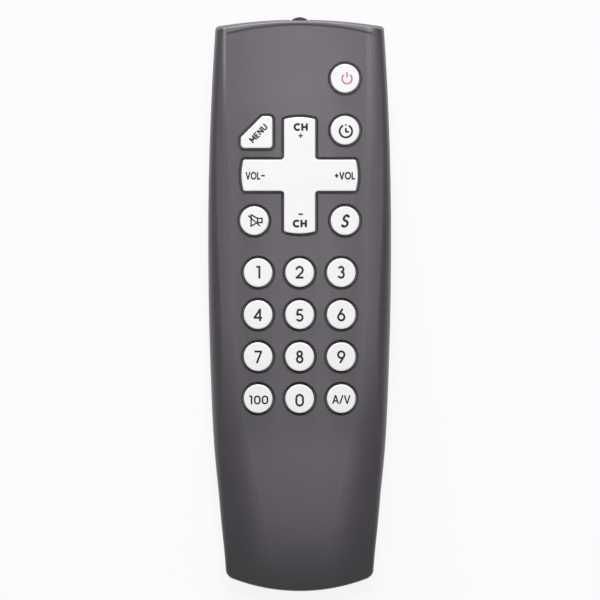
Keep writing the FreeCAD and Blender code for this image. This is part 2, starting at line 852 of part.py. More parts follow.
def make_mat():
    """Silicone sheet with a raised collar round every key and a seat for the rocker's ball."""
    tail = board_tail_y + mat_margin / 2
    nose = board_nose_y - mat_margin
    half = board_half_width - mat_margin
    sheet = box(-half, half, tail, nose, board_top, mat_top)
    sheet = sheet.makeFillet(1.5, upright_edges(sheet, 0, case_length, (0, 0)))
    clear = collar_gap - skirt_step
    collars = all_key_forms(clear + collar_wall, board_top, collar_top)
    seat = post(0, rocker_y, board_top, mat_top + seat_height, seat_radius)
    shape = fused([sheet, seat] + collars)
    cuts = all_key_forms(clear, board_top - 1, collar_top + 1)
    cuts += [post(x, y, 0, crest_height, plunger_radius + plunger_hole_gap) for x, y in plunger_places]
    cuts.append(Part.makeSphere(ball_radius + ball_gap, Vector(0, rocker_y, pivot_z)))
    cuts.append(post(0, screw_y, 0, crest_height, boss_radius + boss_hole_gap))
    return shape.cut(Part.makeCompound(cuts))


def make_chip():
    x, y = -5.0, 30.0
    half_long, half_wide, height, foot = 5.2, 3.7, 2.1, 0.25
    body = box(x - half_wide, x + half_wide, y - half_long, y + half_long, board_bottom - height - foot,
               board_bottom - foot)
    body = body.makeChamfer(0.3, [edge for edge in body.Edges if edge.BoundBox.ZMax < board_bottom - height])
    pieces = [body]
    legs = 8
    for i in range(legs):
        leg_y = y - half_long + (i + 0.5) * 2 * half_long / legs
        for side in (-1, 1):
            inner = x + side * (half_wide - 0.2)
            outer = x + side * (half_wide + 1.4)
            x0, x1 = min(inner, outer), max(inner, outer)
            shelf_z = board_bottom - foot - height / 2
            pieces.append(box(x0, x1, leg_y - 0.2, leg_y + 0.2, shelf_z, shelf_z + 0.25))
            toe = outer if side > 0 else outer + 0.3
            pieces.append(box(toe - 0.3, toe, leg_y - 0.2, leg_y + 0.2, shelf_z, board_bottom))
    return fused(pieces)


def hanging_leads(places, z_low, radius=0.25):
    return [post(x, y, z_low, board_bottom, radius) for x, y in places]


def make_resonator():
    x, y = 8.0, 31.0
    body = box(x - 3.5, x + 3.5, y - 1.5, y + 1.5, board_bottom - 6.5, board_bottom - 1.5)
    body = body.makeFillet(0.8, [edge for edge in body.Edges if edge.BoundBox.YLength > 2])
    return fused([body] + hanging_leads([(x - 2.5, y), (x + 2.5, y)], board_bottom - 2.5))


def make_electrolytic():
    x, y = 11.0, 58.0
    can = post(x, y, board_bottom - 7.2, board_bottom, 2.5)
    return can.makeFillet(0.4, [edge for edge in can.Edges if edge.BoundBox.ZMax < board_bottom - 7])


def make_ceramic_capacitor():
    x, y = 3.0, 47.0
    disc = rod_x(y, board_bottom - 3.6, x - 1.1, x + 1.1, 2.6)
    disc = disc.makeFillet(0.6, [edge for edge in disc.Edges if edge.BoundBox.XLength < 0.1])
    return fused([disc] + hanging_leads([(x, y - 1.4), (x, y + 1.4)], board_bottom - 3.0))


def make_transistor():
    x, y = -9.0, 57.0
    low = board_bottom - 6.6
    body = post(x, y, low, low + 4.6, 2.4).common(box(x - 3, x + 3, y - 1.4, y + 3, low, low + 5))
    return fused([body] + hanging_leads([(x - 1.27, y), (x, y), (x + 1.27, y)], low + 4))


def make_resistors():
    places = ((-9.0, 9.0), (-9.0, 3.0), (7.0, 9.0), (7.0, 3.0))
    solids = []
    for x, y in places:
        z = board_bottom - 1.2
        body = rod_x(y, z, x - 1.7, x + 1.7, 0.9)
        lead = rod_x(y, z, x - 3.8, x + 3.8, 0.25)
        ends = [post(x - 3.6, y, z, board_bottom, 0.25), post(x + 3.6, y, z, board_bottom, 0.25)]
        solids.append(fused([body, lead] + ends))
    return solids


def make_jumpers():
    places = ((-15.0, 44.0), (15.0, 40.0), (0.0, 16.0), (-14.0, 18.0), (13.0, 17.0))
    solids = []
    for x, y in places:
        z = board_bottom - 0.5
        ends = [post(x, y - 4, z, board_bottom, 0.25), post(x, y + 4, z, board_bottom, 0.25)]
        solids.append(fused([rod_y(x, z, y - 4.4, y + 4.4, 0.35)] + ends))
    return solids


# Cells and their contacts


def make_cell(x, nub_toward):
    """One cell; nub_toward is 1 with its positive end to the nose, -1 to the tail."""
    plate = contact_thickness + 2 * contact_gap
    if nub_toward > 0:
        tip = compartment_nose_y - plate
        nub = rod_y(x, cell_axis_z, tip - cell_nub_length, tip, cell_nub_radius)
        can = rod_y(x, cell_axis_z, tip - cell_length, tip - cell_nub_length, cell_radius)
    else:
        tip = compartment_tail_y + plate
        nub = rod_y(x, cell_axis_z, tip, tip + cell_nub_length, cell_nub_radius)
        can = rod_y(x, cell_axis_z, tip + cell_nub_length, tip + cell_length, cell_radius)
    can = can.makeFillet(0.4, [edge for edge in can.Edges if edge.BoundBox.YLength < 0.1])
    return fused([can, nub])


def contact_plate(x, half, wall_y, into):
    """Flat plate that stands against an end wall of the compartment."""
    y0 = wall_y + into * contact_gap
    y1 = y0 + into * contact_thickness
    return box(x - half, x + half, min(y0, y1), max(y0, y1), cell_axis_z - 4.0, ceiling_bottom - 0.2)


def contact_leaf(x, wall_y, into):
    """Bent leaf between an end wall and the flat end of a cell."""
    plate_y = wall_y + into * (contact_gap + contact_thickness)
    reach = cell_end_room - 2 * contact_thickness - 4 * contact_gap
    skin = 0.25
    shift = -into * skin * 1.6
    bend_y = plate_y + into * (reach - 0.05)
    front = [
        (plate_y, cell_axis_z - 3.6),
        (bend_y, cell_axis_z - 0.8),
        (bend_y, cell_axis_z + 0.8),
        (plate_y + into * reach * 0.25, cell_axis_z + 3.4),
    ]
    back = [(y + shift, z) for y, z in reversed(front)]
    points = [Vector(x - leaf_width / 2, y, z) for y, z in front + back]
    return Part.Face(Part.makePolygon(points + points[:1])).extrude(Vector(leaf_width, 0, 0))


def contact_tail(x):
    y1 = compartment_nose_y - contact_gap
    return box(x - 1.0, x + 1.0, y1 - contact_thickness, y1, ceiling_bottom - 0.5, board_bottom)


def make_contacts():
    left, right = -cell_spacing / 2, cell_spacing / 2
    half = contact_width / 2
    positive = fused([contact_plate(left, half, compartment_nose_y, -1), contact_tail(left)])
    negative = fused([
        contact_plate(right, half, compartment_nose_y, -1),
        contact_leaf(right, compartment_nose_y, -1),
        contact_tail(right),
    ])
    bridge = fused([
        contact_plate(0, cell_spacing / 2 + half, compartment_tail_y, 1),
        contact_leaf(left, compartment_tail_y, 1),
    ])
    return positive, negative, bridge


# Keys


def capped(form, raised):
    """Trim a key to the raised top surface and round its upper edge."""
    shape = form.common(raised)
    rim = []
    for edge in shape.Edges:
        bounds = edge.BoundBox
        if bounds.ZMin > cap_bottom + 1.0 and bounds.ZLength < 2 * key_proud:
            rim.append(edge)
    return shape.makeFillet(key_edge_radius, rim)


def pill_recess(x, y):
    return post(x, y, skirt_bottom - 1, pill_bottom + pill_thickness, pill_radius)


def pill(x, y):
    return post(x, y, pill_bottom, pill_bottom + pill_thickness, pill_radius)


def make_round_key(x, y, raised):
    cap = capped(round_key_form(x, y, 0, cap_bottom, crest_height + 2 * key_proud), raised)
    skirt = round_key_form(x, y, -skirt_step, skirt_bottom, cap_bottom)
    return fused([cap, skirt]).cut(pill_recess(x, y))


def make_menu_key(raised):
    cap = capped(menu_key_form(0, cap_bottom, crest_height + 2 * key_proud), raised)
    skirt = menu_key_form(-skirt_step, skirt_bottom, cap_bottom)
    return fused([cap, skirt]).cut(pill_recess(*menu_pill_place))


def make_rocker(raised):
    plate = capped(rocker_form(0, rocker_bottom, crest_height + 2 * key_proud), raised)
    stems = [
        post(x, y, rocker_pill_bottom + pill_proud, rocker_bottom + 0.2, plunger_radius)
        for x, y in plunger_places
    ]
    hub = post(0, rocker_y, rocker_bottom - hub_height, rocker_bottom + 0.2, seat_radius)
    shape = fused([plate, hub] + stems)
    shape = shape.cut(Part.makeSphere(ball_radius + ball_gap, Vector(0, rocker_y, pivot_z)))
    recesses = [
        post(x, y, rocker_pill_bottom - 1, rocker_pill_bottom + pill_thickness, pill_radius)
        for x, y in plunger_places
    ]
    return shape.cut(Part.makeCompound(recesses))


def make_rocker_pills():
    return [
        post(x, y, rocker_pill_bottom, rocker_pill_bottom + pill_thickness, pill_radius)
        for x, y in plunger_places
    ]


def build():
    os.makedirs("parts", exist_ok=True)
    outer = lower_outer()
    save("top_housing", make_top_housing())
    save("bottom_housing", make_bottom_housing(outer))
    save("battery_door", make_battery_door(outer))
    save("ir_window", make_window())
    save("case_screw", make_screw())
    save("key_mat", make_mat())
    save("circuit_board", make_board())
    save("contact_pads", make_pads())
    save("ir_led", make_led())
    save("controller_chip", make_chip())
    save("ceramic_resonator", make_resonator())
    save("electrolytic_capacitor", make_electrolytic())
    save("ceramic_capacitor", make_ceramic_capacitor())
    save("driver_transistor", make_transistor())
    save("resistors", make_resistors())
    save("wire_jumpers", make_jumpers())
    positive, negative, bridge = make_contacts()
    save("battery_positive_contact", positive)
    save("battery_negative_contact", negative)
    save("battery_bridge_contact", bridge)
    save("battery_left", make_cell(-cell_spacing / 2, 1))
    save("battery_right", make_cell(cell_spacing / 2, -1))

    raised = case_body(-key_proud)
    for name, (x, y) in round_keys.items():
        save(name + "_key", make_round_key(x, y, raised))
        save(name + "_key_pill", pill(x, y))
    save("menu_key", make_menu_key(raised))
    save("menu_key_pill", pill(*menu_pill_place))
    save("rocker_pivot_ball", Part.makeSphere(ball_radius, Vector(0, rocker_y, pivot_z)))
    save("rocker_key", make_rocker(raised))
    save("rocker_key_pills", make_rocker_pills())


build()
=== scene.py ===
import bpy
import math
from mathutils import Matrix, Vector


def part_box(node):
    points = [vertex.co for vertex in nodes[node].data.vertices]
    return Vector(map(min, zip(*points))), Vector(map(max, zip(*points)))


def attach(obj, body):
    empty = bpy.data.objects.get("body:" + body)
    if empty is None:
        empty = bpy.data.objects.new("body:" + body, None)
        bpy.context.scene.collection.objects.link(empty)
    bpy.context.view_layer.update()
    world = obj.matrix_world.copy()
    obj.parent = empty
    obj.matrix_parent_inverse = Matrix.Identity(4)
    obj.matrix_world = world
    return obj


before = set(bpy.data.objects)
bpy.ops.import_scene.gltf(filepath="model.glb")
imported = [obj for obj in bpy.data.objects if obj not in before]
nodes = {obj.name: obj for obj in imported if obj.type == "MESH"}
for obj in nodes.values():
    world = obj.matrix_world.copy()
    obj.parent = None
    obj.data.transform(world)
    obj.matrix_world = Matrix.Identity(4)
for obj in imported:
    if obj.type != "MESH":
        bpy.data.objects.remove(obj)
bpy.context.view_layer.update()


# Bottom housing
# The lower shell of the remote, injection moulded in grey styrene with a fine spark-eroded
# grain. It lies flat on the table, and the parting line with the upper shell runs all round
# the flank. Hands have polished and scuffed the grain. Painted highlights along the shoulders
# and the nose edge, painted shade by the nose and over the tail, and a darker top between the
# keys are laid on it. Both shells share this finish.


class Signal:
    """One socket of a material, on which + - and * add Math nodes."""

    def __init__(self, look, socket):
        self.look = look
        self.socket = socket

    def work_out(self, operation, *values):
        settings = {"operation": operation}
        return self.look.node("ShaderNodeMath", settings, dict(enumerate(values)))

    def __add__(self, other):
        return self.work_out("ADD", self, other)

    def __sub__(self, other):
        return self.work_out("SUBTRACT", self, other)

    def __rsub__(self, other):
        return self.work_out("SUBTRACT", other, self)

    def __mul__(self, other):
        return self.work_out("MULTIPLY", self, other)

    __radd__ = __add__
    __rmul__ = __mul__

    def size(self):
        """The value without its sign."""
        return self.work_out("ABSOLUTE", self)

    def step(self, low, high):
        """0 below low, 1 above high and smooth between them."""
        return self.look.node("ShaderNodeMapRange", {"interpolation_type": "SMOOTHSTEP"},
                              {0: self, 1: low, 2: high})


class Look:
    """A material with one Principled shader. Its patterns read Object coordinates, in metres."""

    def __init__(self, name, **constants):
        self.material = bpy.data.materials.new(name)
        self.material.use_nodes = True
        self.tree = self.material.node_tree
        self.shader = self.tree.nodes["Principled BSDF"]
        for socket, value in constants.items():
            self.shader.inputs[socket.replace("_", " ")].default_value = value
        self.place = self.node("ShaderNodeTexCoord", output="Object")

    def node(self, kind, settings=None, sockets=None, output=0):
        """Adds a node. Its settings come first, because they decide which sockets it has."""
        made = self.tree.nodes.new(kind)
        for name, value in (settings or {}).items():
            setattr(made, name, value)
        for name, value in (sockets or {}).items():
            self.link(value, made.inputs[name])
        return Signal(self, made.outputs[output])

    def link(self, value, socket):
        if isinstance(value, Signal):
            self.tree.links.new(value.socket, socket)
        else:
            socket.default_value = value

    def feed(self, **values):
        for name, value in values.items():
            self.link(value, self.shader.inputs[name.replace("_", " ")])

    def axes(self):
        """X, Y and Z of the point, in metres."""
        split = self.node("ShaderNodeSeparateXYZ", sockets={0: self.place})
        outputs = split.socket.node.outputs
        return [Signal(self, outputs[axis]) for axis in range(3)]

    def stretched(self, scale):
        """Place for a pattern that is drawn out along the axes with a small scale."""
        return self.node("ShaderNodeMapping", sockets={"Vector": self.place, "Scale": scale})

    def noise(self, per_metre, detail=2.0, roughness=0.5, vector=None):
        return self.node("ShaderNodeTexNoise", sockets={
            "Vector": vector or self.place, "Scale": per_metre,
            "Detail": detail, "Roughness": roughness})

    def cells(self, per_metre, feature="F1", vector=None):
        return self.node("ShaderNodeTexVoronoi", {"feature": feature}, {
            "Vector": vector or self.place, "Scale": per_metre})

    def mix(self, amount, first, second):
        """Mixes two colours. A Mix node has them at sockets 6 and 7, and their mix at 2."""
        made = self.node("ShaderNodeMix", {"data_type": "RGBA"})
        inputs = made.socket.node.inputs
        for socket, value in zip((inputs[0], inputs[6], inputs[7]), (amount, first, second)):
            self.link(value, socket)
        return Signal(self, made.socket.node.outputs[2])

    def bump(self, height, depth):
        """Relief; height runs from 0 to 1 and depth is in metres."""
        self.feed(Normal=self.node("ShaderNodeBump", sockets={
            "Height": height, "Distance": depth}))


def dress(look, *names):
    """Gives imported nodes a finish."""
    for name in names:
        nodes[name].data.materials.clear()
        nodes[name].data.materials.append(look.material)


MM = 0.001
GREY = (0.068, 0.060, 0.069, 1)
GREY_DARK = (0.052, 0.048, 0.053, 1)
GREY_WORN = (0.115, 0.104, 0.115, 1)
# The next three greys are a painted highlight, a darker grey for the keypad and for painted shade
# on the tail, and painted shade.
GREY_HIGHLIGHT = (0.23, 0.21, 0.235, 1)
GREY_DIMMED = (0.023, 0.028, 0.023, 1)
GREY_SHADED = (0.012, 0.010, 0.012, 1)
SEAM_SHADE = (0.03, 0.027, 0.03, 1)
PARTING_Z = 12.0 * MM
SEAM_HALF = 0.10 * MM
NOSE_BOW = 5.6  # the nose edge falls back by this times the square of X, in metres

case_grey = Look("case_grey", IOR=1.55, Specular_IOR_Level=0.62, Specular_Tint=(0.98, 0.88, 1.0, 1))
x, y, z = case_grey.axes()
cloud = case_grey.noise(28, 3).step(0.35, 0.7)
grain = case_grey.noise(2300, 3, 0.6)
pits = case_grey.cells(1500).step(0.05, 0.55)
handled = (1 - (y + 20 * MM).size().step(20 * MM, 60 * MM)) * x.size().step(16 * MM, 26 * MM)
scuffs = case_grey.noise(900, 2, 0.5, case_grey.stretched((0.25, 1.0, 1.0))).step(0.66, 0.74)

# Painted highlights: a crease along the left shoulder, a faint strip along the right one and
# the edge of the nose. Painted shade: a line just inside that edge, and the two corners beside it.
above = z.step(18.5 * MM, 19.5 * MM)
inboard = above * (1 - x.size().step(21.6 * MM, 22.8 * MM))
left_shoulder_highlight = (1 - (x + 22.9 * MM).size().step(0.1 * MM, 0.65 * MM)) * y.step(54 * MM, 80 * MM)
right_shoulder_highlight = (1 - (x - 21.1 * MM).size().step(0.3 * MM, 1.2 * MM)) * y.step(40 * MM, 75 * MM)
rub_and_highlight = (left_shoulder_highlight + right_shoulder_highlight * 0.3) * (0.5 + grain * 0.5) * above
nose = y + x * x * NOSE_BOW
nose_line_shade = (1 - (nose - 85.1 * MM).size().step(0.05 * MM, 0.5 * MM)) * inboard
# Painted highlight: the nose edge is lightened where the glossy face would mirror the pale floor.
nose_edge_highlight = nose.step(85.5 * MM, 86.2 * MM) * inboard
nose_corner_shade = above * x.size().step(22.8 * MM, 23.6 * MM) * y.step(82.8 * MM, 83.8 * MM)

# Darker: the top between the keys, and painted shade over the tail, where the top falls away from
# the light.
keypad_width = 1 - x.size().step(17 * MM, 23 * MM)
keypad = keypad_width * (1 - (y - 8 * MM).size().step(42 * MM, 58 * MM)) * above
tail_shade = 1 - y.step(-84 * MM, -55 * MM)
keypad_dark_and_tail_shade = (keypad * 0.5 + tail_shade * 0.45) * (0.8 + grain * 0.4)

seam = 1 - (z - PARTING_Z).size().step(SEAM_HALF * 0.5, SEAM_HALF * 1.6)
tone = case_grey.mix(cloud * 0.55 + grain * 0.25, GREY_DARK, GREY)
tone = case_grey.mix(scuffs * (0.12 + handled * 0.3), tone, GREY_WORN)
# Darker between the keys, and painted shade over the tail.
tone = case_grey.mix(keypad_dark_and_tail_shade, tone, GREY_DIMMED)
# Painted highlights along the shoulders and the nose edge.
tone = case_grey.mix(rub_and_highlight + nose_edge_highlight * 0.45, tone, GREY_HIGHLIGHT)
# Painted shade in a line just inside the nose edge and at its two corners.
tone = case_grey.mix(nose_line_shade * 0.6 + nose_corner_shade * 0.6, tone, GREY_SHADED)
tone = case_grey.mix(seam * 0.75, tone, SEAM_SHADE)
case_grey.feed(Base_Color=tone,
               Roughness=0.44 + grain * 0.12 - handled * 0.05 + seam * 0.2 + nose_line_shade * 0.2)
case_grey.bump(grain * 0.6 + pits * 0.4 - seam * 1.5, 0.022 * MM)
dress(case_grey, "bottom_housing")


# Battery contacts
# Three pieces of nickel-plated spring strip, blanked and bent. Two stand at the nose end of
# the compartment with tails soldered to the board, and a wide one bridges both cells at the tail.

nickel = Look("nickel_strip", Metallic=1.0)
rolled = nickel.noise(5200, 3, 0.6, nickel.stretched((1.0, 1.0, 0.06)))
tarnish = nickel.noise(420, 3).step(0.5, 0.8)
nickel.feed(Base_Color=nickel.mix(tarnish * 0.45, (0.70, 0.67, 0.62, 1), (0.42, 0.37, 0.29, 1)),
            Roughness=0.24 + rolled * 0.16 + tarnish * 0.15)
nickel.bump(rolled, 0.006 * MM)
dress(nickel, "battery_positive_contact", "battery_negative_contact", "battery_bridge_contact")


# Cells
# Two size AAA cells, side by side and the opposite way round. Each is a steel can in a printed
# shrunk sleeve, with a bare rim and nub at the positive end and a bare flat at the other.


def make_cell_look(name, positive_y, toward):
    """Sleeve with a gold band at the positive end and a bare rim beyond it.

    positive_y is the end of the nub, and toward is 1 where it points to the nose, else -1.
    """
    look = Look(name, Coat_Roughness=0.12)
    along = look.axes()[1]
    from_tip = (along - positive_y) * -toward
    sleeve = from_tip.step(1.7 * MM, 1.8 * MM) * (1 - from_tip.step(43.9 * MM, 44.0 * MM))
    band = 1 - from_tip.step(12.9 * MM, 13.1 * MM)
    line = 1 - (from_tip - 14.0 * MM).size().step(0.25 * MM, 0.35 * MM)
    rub_and_highlight = look.noise(1600, 3, 0.6, look.stretched((1.0, 0.2, 1.0))).step(0.62, 0.8)
    printed = look.mix(band, (0.030, 0.085, 0.045, 1), (0.62, 0.50, 0.22, 1))
    printed = look.mix(line, printed, (0.75, 0.75, 0.72, 1))
    printed = look.mix(rub_and_highlight * 0.25, printed, (0.45, 0.45, 0.42, 1))
    steel = look.mix(look.noise(700, 3), (0.62, 0.61, 0.58, 1), (0.50, 0.48, 0.44, 1))
    look.feed(Base_Color=look.mix(sleeve, steel, printed), Metallic=1 - sleeve * (1 - band * 0.6),
              Roughness=0.34 - sleeve * 0.08 + rub_and_highlight * 0.2, Coat_Weight=sleeve * 0.6)
    look.bump(look.noise(900, 2) + sleeve * 2.0, 0.03 * MM)
    return look


dress(make_cell_look("cell_left_sleeve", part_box("battery_left")[1].y, 1), "battery_left")
dress(make_cell_look("cell_right_sleeve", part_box("battery_right")[0].y, -1), "battery_right")


# Infrared lamp
# A 5 mm light-emitting diode in water-clear epoxy with a violet tint, held in a slot of the
# lower shell behind the window, its two leads bent up to the board.

lamp_epoxy = Look("lamp_epoxy", Coat_Weight=1.0, Coat_Roughness=0.03, IOR=1.55)
depth = lamp_epoxy.axes()[1]
lens = depth.step(75.5 * MM, 76.5 * MM)
flow = lamp_epoxy.noise(600, 2)
tint = lamp_epoxy.mix(lens * 0.8 + flow * 0.2, (0.55, 0.55, 0.52, 1), (0.14, 0.06, 0.17, 1))
lamp_epoxy.feed(Base_Color=tint, Metallic=(1 - lens) * 0.9, Roughness=0.12 + flow * 0.1)
lamp_epoxy.bump(flow, 0.01 * MM)
dress(lamp_epoxy, "ir_led")


# Infrared window
# A small plug of nearly black acrylic that lets infrared through, its polish worn dull. Its
# flange is trapped between the two shells, and its face bulges a little beyond the nose.

window_acrylic = Look("window_acrylic", IOR=1.49, Specular_IOR_Level=0.25)
haze = window_acrylic.noise(350, 3)
drawn_out = window_acrylic.stretched((0.08, 1.0, 1.0))
hairlines = window_acrylic.noise(4200, 2, 0.5, drawn_out).step(0.68, 0.75)
plum = window_acrylic.mix(haze, (0.016, 0.008, 0.012, 1), (0.030, 0.014, 0.022, 1))
window_acrylic.feed(Base_Color=plum, Roughness=0.42 + hairlines * 0.2 + haze * 0.05)
window_acrylic.bump(hairlines * 0.5 + haze, 0.004 * MM)
dress(window_acrylic, "ir_window")


# Circuit board
# A sheet of brown paper laminate, printed on both faces with a green mask over its tracks, and
# held down on pegs of the lower shell by the posts of the upper one.

laminate = Look("board_laminate", Coat_Roughness=0.2)
normal = laminate.node("ShaderNodeNewGeometry", output="Normal")
facing = laminate.node("ShaderNodeSeparateXYZ", sockets={0: normal})
flat = Signal(laminate, facing.socket.node.outputs[2]).size().step(0.5, 0.9)
fibres = laminate.noise(1400, 4, 0.65, laminate.stretched((0.3, 1.0, 1.0)))
track_cells = laminate.cells(260, "DISTANCE_TO_EDGE", laminate.stretched((1.0, 0.45, 1.0)))
tracks = 1 - track_cells.step(0.06, 0.075)
brown = laminate.mix(fibres, (0.20, 0.105, 0.035, 1), (0.36, 0.21, 0.085, 1))
mask = laminate.mix(tracks, (0.045, 0.125, 0.045, 1), (0.085, 0.205, 0.070, 1))
laminate.feed(Base_Color=laminate.mix(flat * 0.85, brown, mask),
              Roughness=0.5 - flat * 0.15 + fibres * 0.1, Coat_Weight=flat * 0.4)
laminate.bump(tracks * 0.7 * flat + fibres * 0.3, 0.03 * MM)
dress(laminate, "circuit_board")


# Parts soldered under the board
# The controller in its moulded black case with tinned legs, an orange dipped resonator and
# ceramic capacitor, an electrolytic can in a dark sleeve, a moulded driver transistor, four
# lacquered resistors with colour bands, and plain wire bridges.

TINNED = (0.72, 0.72, 0.70, 1)


def make_part_look(name, colour, second, leads_above, roughness, gloss):
    """Moulded or dipped body that turns to bright tinned lead above a height."""
    look = Look(name, Coat_Roughness=0.15)
    height = look.axes()[2]
    lead = height.step(leads_above, leads_above + 0.05 * MM)
    mottle = look.noise(1100, 3)
    fine = look.noise(6000, 2)
    body = look.mix(mottle, colour, second)
    look.feed(Base_Color=look.mix(lead, body, TINNED), Metallic=lead,
              Roughness=roughness + fine * 0.12 - lead * 0.1, Coat_Weight=(1 - lead) * gloss)
    look.bump(fine * 0.7 + mottle * 0.3, 0.02 * MM)
    return look


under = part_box("circuit_board")[0].z
BLACK = (0.022, 0.022, 0.024, 1)
BLACK_DULL = (0.040, 0.040, 0.042, 1)
ORANGE = (0.62, 0.17, 0.02, 1)
ORANGE_PALE = (0.72, 0.26, 0.05, 1)
# Node, finish, its two colours, how far under the board its leads begin in millimetres,
# roughness and gloss.
soldered_parts = (
    ("controller_chip", "chip_epoxy", BLACK, BLACK_DULL, 0.25, 0.5, 0.0),
    ("driver_transistor", "transistor_epoxy", BLACK, BLACK_DULL, 2.0, 0.42, 0.1),
    ("ceramic_resonator", "resonator_dip", ORANGE, ORANGE_PALE, 1.5, 0.28, 0.7),
    ("ceramic_capacitor", "capacitor_dip", ORANGE_PALE, ORANGE, 1.1, 0.28, 0.7),
)
for node, name, colour, second, leads_under, roughness, gloss in soldered_parts:
    look = make_part_look(name, colour, second, under - leads_under * MM, roughness, gloss)
    dress(look, node)

can_sleeve = Look("can_sleeve", Coat_Weight=0.5, Coat_Roughness=0.1)
stripe = (can_sleeve.axes()[0] - 12.6 * MM).step(0.0, 0.1 * MM)
wrinkle = can_sleeve.noise(1800, 3)
can_sleeve.feed(Base_Color=can_sleeve.mix(stripe, (0.020, 0.030, 0.090, 1), (0.55, 0.55, 0.58, 1)),
                Roughness=0.25 + wrinkle * 0.15)
can_sleeve.bump(wrinkle, 0.02 * MM)
dress(can_sleeve, "electrolytic_capacitor")

lacquer = Look("resistor_lacquer", Coat_Weight=0.5, Coat_Roughness=0.1)
along = (lacquer.axes()[0] + 1.0 * MM).size() - 8.0 * MM
wire = along.size().step(1.70 * MM, 1.75 * MM)
skin = lacquer.noise(900, 2)
tan = lacquer.mix(skin, (0.62, 0.44, 0.24, 1), (0.70, 0.53, 0.32, 1))
colour_bands = (  # place along the body in millimetres, and the band's colour
    (-0.9, (0.16, 0.05, 0.02, 1)),
    (-0.3, (0.02, 0.02, 0.02, 1)),
    (0.3, (0.60, 0.03, 0.02, 1)),
    (1.2, (0.52, 0.36, 0.08, 1)),
)
for place, colour in colour_bands:
    band = 1 - (along - place * MM).size().step(0.18 * MM, 0.22 * MM)
    tan = lacquer.mix(band, tan, colour)
lacquer.feed(Base_Color=lacquer.mix(wire, tan, TINNED), Metallic=wire,
             Roughness=0.32 + skin * 0.1)
lacquer.bump(skin, 0.02 * MM)
dress(lacquer, "resistors")

tinned = Look("tinned_wire", Metallic=1.0)
drawn = tinned.noise(5000, 2, 0.5, tinned.stretched((1.0, 0.1, 1.0)))
dull = tinned.noise(500, 3).step(0.45, 0.8)
tinned.feed(Base_Color=tinned.mix(dull, (0.74, 0.74, 0.72, 1), (0.52, 0.52, 0.50, 1)),
            Roughness=0.25 + drawn * 0.2)
tinned.bump(drawn, 0.01 * MM)
dress(tinned, "wire_jumpers")


# Carbon contacts
# Round carbon-ink pads printed on the board, and the conductive rubber pills that the keys
# press on them. Ink and pill are the same dull black, a little shiny where they meet.

carbon = Look("carbon_black")
speckle = carbon.noise(7000, 3, 0.7)
rub_and_highlight = carbon.noise(700, 2).step(0.5, 0.75)
carbon.feed(Base_Color=carbon.mix(speckle, (0.012, 0.012, 0.013, 1), (0.042, 0.042, 0.044, 1)),
            Roughness=0.75 - rub_and_highlight * 0.2)
carbon.bump(speckle, 0.02 * MM)
dress(carbon, "contact_pads", *[name for name in nodes if name.endswith(("_pill", "_pills"))])


# Key mat and keys
# The keys are moulded in white silicone rubber with a matt, faintly dusty skin. Low down in
# their openings, and on the mat under them, shade is painted in dark grey. The mat carries a
# collar round each key, and each key top is slightly crowned and stands 1.3 mm proud.

silicone = Look("white_silicone", IOR=1.41, Subsurface_Weight=0.08, Subsurface_Scale=0.6 * MM)
up = silicone.axes()[2]
bloom = silicone.noise(160, 3).step(0.3, 0.75)
dust = silicone.noise(3600, 3, 0.65)
# Painted shade: below the key tops the keys and the mat turn dark grey.
sunk = 1 - up.step(18.5 * MM, 20.5 * MM)
white = silicone.mix(bloom * 0.6 + dust * 0.2, (0.885, 0.885, 0.88, 1), (0.93, 0.93, 0.925, 1))
white = silicone.mix(sunk * 0.9, white, (0.13, 0.125, 0.12, 1))
silicone.feed(Base_Color=white, Roughness=0.52 + dust * 0.14)
silicone.bump(dust, 0.008 * MM)
keys = [name for name in nodes if name.endswith("_key")]
dress(silicone, "key_mat", *keys)

acetal = Look("white_acetal", IOR=1.48)
swirl = acetal.noise(800, 3)
acetal.feed(Base_Color=acetal.mix(swirl, (0.78, 0.78, 0.75, 1), (0.86, 0.86, 0.84, 1)),
            Roughness=0.3 + swirl * 0.15)
acetal.bump(swirl, 0.01 * MM)
dress(acetal, "rocker_pivot_ball")


# Markings on the keys
# Figures, letters and simple signs are pad printed on the key tops in black ink, and the
# standby sign in red. A drawn stroke is a flat bead of ink, 0.03 mm high at its middle.

INK_RISE = 0.03 * MM
BEAD_SIDES = 8
CURVE_STEP = math.radians(12)
LETTER_GAP = 0.14  # in parts of the sign's height


def bar(x0, y0, x1, y1):
    """Straight stroke, in parts of the sign's height as the other strokes are."""
    return "bar", (x0, y0, x1, y1)


def bow(x, y, radius, start, end):
    """Arc of a circle from one angle to another, in degrees, anticlockwise where end is larger."""
    return "bow", (x, y, radius, start, end)


def ring(x, y, radius):
    return "ring", (x, y, radius)


